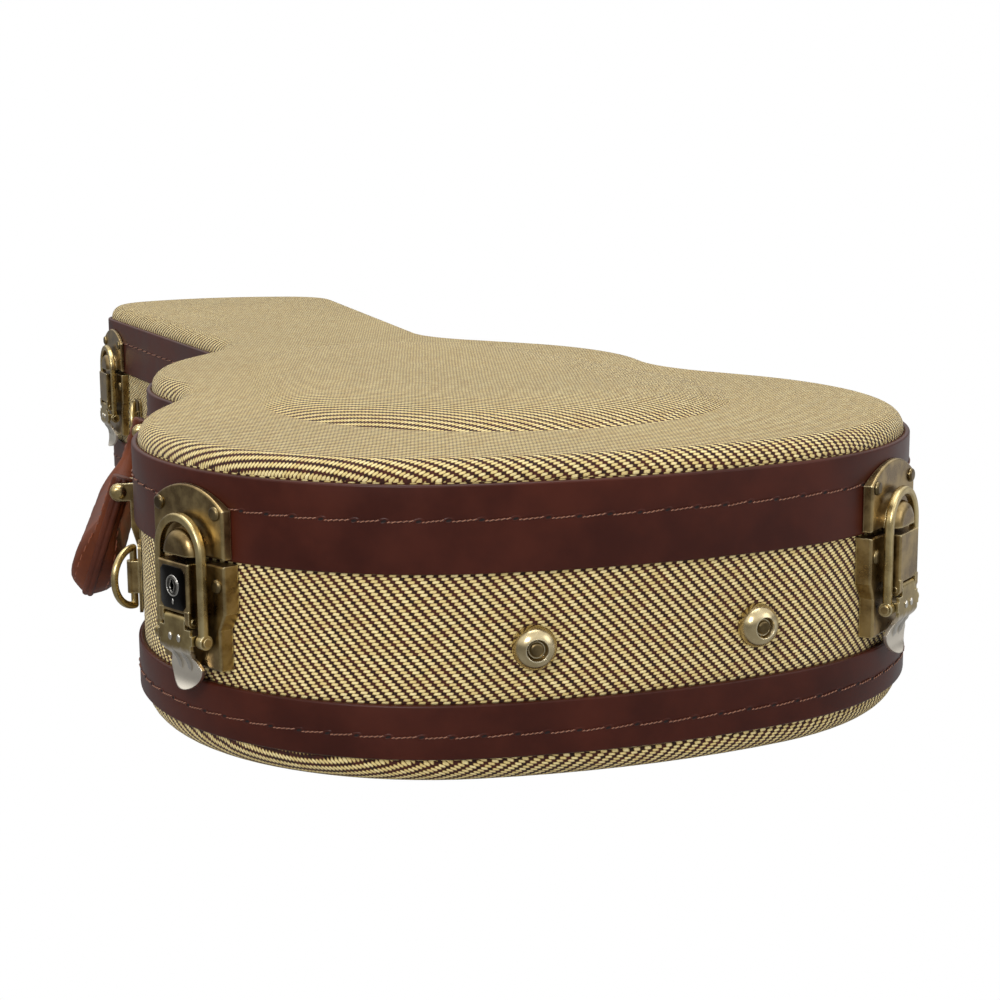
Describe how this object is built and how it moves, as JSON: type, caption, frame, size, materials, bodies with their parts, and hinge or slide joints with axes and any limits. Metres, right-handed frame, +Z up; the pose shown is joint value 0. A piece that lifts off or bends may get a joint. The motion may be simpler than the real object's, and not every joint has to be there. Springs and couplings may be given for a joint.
{
  "type": "ukulele case",
  "caption": "Arched hard case shaped like a ukulele, covered in tweed with leather bands, with a hinged lid, draw latches, a swinging handle and a plush recess",
  "frame": {"origin": "on the flat bottom face, on the centre line, at the widest station of the lower bout", "axes": "+Z is up from the bottom to the lid, +Y runs from the lower end to the head, +X is the hinge side"},
  "size_m": [0.2893, 0.6264, 0.1051],
  "materials": {
    "tweed_cloth": "straw and dark brown diagonal tweed",
    "binding_leather": "smooth dark brown leather with a stitched line",
    "handle_leather": "waxed red brown leather with a welt",
    "plush_lining": "short pile plush",
    "tab_leather": "thin leather",
    "aged_brass": "aged brass, rubbed bright on the edges"
  },
  "bodies": {
    "case_base": {"accessory_box": "plush_lining", "base_binding_band": "binding_leather", "base_lining": "plush_lining", "base_rivets": "aged_brass", "base_shell": "tweed_cloth", "body_ring_plate": "aged_brass", "dust_lip": "plush_lining", "end_feet": "aged_brass", "end_latch_base_plate": "aged_brass", "end_latch_housing": "aged_brass", "end_latch_lever_pin": "aged_brass", "flap_hinge_pin": "aged_brass", "foot_rivets": "aged_brass", "handle_bracket_front": "aged_brass", "handle_bracket_rear": "aged_brass", "handle_pins": "aged_brass", "head_hinge_base_leaf": "aged_brass", "head_hinge_pin": "aged_brass", "head_latch_base_plate": "aged_brass", "head_latch_housing": "aged_brass", "head_latch_lever_pin": "aged_brass", "head_ring_plate": "aged_brass", "lock_latch_base_plate": "aged_brass", "lock_latch_housing": "aged_brass", "lock_latch_lever_pin": "aged_brass", "lower_hinge_base_leaf": "aged_brass", "lower_hinge_pin": "aged_brass", "neck_cradle": "plush_lining"},
    "lid": {"end_latch_striker": "aged_brass", "head_hinge_lid_leaf": "aged_brass", "head_latch_striker": "aged_brass", "lid_binding_band": "binding_leather", "lid_lining": "plush_lining", "lid_rivets": "aged_brass", "lid_shell": "tweed_cloth", "lock_latch_striker": "aged_brass", "lower_hinge_lid_leaf": "aged_brass"},
    "flap": {"accessory_flap": "plush_lining", "flap_pull_tab": "tab_leather"},
    "body_ring": {"body_ring_loop": "aged_brass"},
    "end_latch_bail": {"end_latch_bail": "aged_brass"},
    "end_latch_lever": {"end_latch_bail_pins": "aged_brass", "end_latch_lever": "aged_brass"},
    "handle": {"handle_grip": "handle_leather"},
    "head_latch_bail": {"head_latch_bail": "aged_brass"},
    "head_latch_lever": {"head_latch_bail_pins": "aged_brass", "head_latch_lever": "aged_brass"},
    "head_ring": {"head_ring_loop": "aged_brass"},
    "lock_latch_bail": {"lock_latch_bail": "aged_brass"},
    "lock_latch_lever": {"lock_latch_bail_pins": "aged_brass", "lock_latch_lever": "aged_brass"},
    "lock": {"lock_latch_lock_cylinder": "aged_brass"}
  },
  "joints": [
    {"name": "lid_hinge", "type": "hinge", "parent": "case_base", "child": "lid", "pos_m": [0.13645, 0.01768, 0.0657], "axis": [-0.1461, 0.9893, 0], "range_deg": [0, 105]},
    {"name": "lock_latch_lever_pivot", "type": "hinge", "parent": "case_base", "child": "lock_latch_lever", "pos_m": [-0.13199, -0.0465, 0.0464], "axis": [-0.3872, 0.922, 0], "range_deg": [0, 95]},
    {"name": "lock_latch_bail_pivot", "type": "hinge", "parent": "lock_latch_lever", "child": "lock_latch_bail", "pos_m": [-0.1307, -0.04596, 0.0405], "axis": [-0.3872, 0.922, 0], "range_deg": [-142.5, 0]},
    {"name": "end_latch_lever_pivot", "type": "hinge", "parent": "case_base", "child": "end_latch_lever", "pos_m": [0.09916, -0.08959, 0.0464], "axis": [-0.7861, -0.6181, 0], "range_deg": [0, 95]},
    {"name": "end_latch_bail_pivot", "type": "hinge", "parent": "end_latch_lever", "child": "end_latch_bail", "pos_m": [0.0983, -0.08849, 0.0405], "axis": [-0.7861, -0.6181, 0], "range_deg": [-142.5, 0]},
    {"name": "head_latch_lever_pivot", "type": "hinge", "parent": "case_base", "child": "head_latch_lever", "pos_m": [-0.07129, 0.45942, 0.0464], "axis": [-0.0715, 0.9974, 0], "range_deg": [0, 95]},
    {"name": "head_latch_bail_pivot", "type": "hinge", "parent": "head_latch_lever", "child": "head_latch_bail", "pos_m": [-0.0699, 0.45952, 0.0405], "axis": [-0.0715, 0.9974, 0], "range_deg": [-142.5, 0]},
    {"name": "lock_turn", "type": "hinge", "parent": "case_base", "child": "lock", "pos_m": [-0.13365, -0.0472, 0.0571], "axis": [-0.922, -0.3872, 0], "range_deg": [0, 90]},
    {"name": "handle_swing", "type": "hinge", "parent": "case_base", "child": "handle", "pos_m": [-0.1329, 0.0505, 0.071], "axis": [0.2249, 0.9744, 0], "range_deg": [-12, 70]},
    {"name": "body_ring_swing", "type": "hinge", "parent": "case_base", "child": "body_ring", "pos_m": [-0.13322, 0.0256, 0.045], "axis": [0, 0, 1], "range_deg": [-124, 20]},
    {"name": "head_ring_swing", "type": "hinge", "parent": "case_base", "child": "head_ring", "pos_m": [-0.06333, 0.41965, 0.042], "axis": [0, 0, 1], "range_deg": [-140, 4]},
    {"name": "flap_hinge", "type": "hinge", "parent": "case_base", "child": "flap", "pos_m": [-0.0311, 0.2423, 0.0296], "axis": [0, -1, 0], "range_deg": [0, 55]}
  ],
  "couplings": [
    {"joint": "lock_latch_bail_pivot", "follows": "lock_latch_lever_pivot", "ratio": -1.5},
    {"joint": "end_latch_bail_pivot", "follows": "end_latch_lever_pivot", "ratio": -1.5},
    {"joint": "head_latch_bail_pivot", "follows": "head_latch_lever_pivot", "ratio": -1.5}
  ]
}
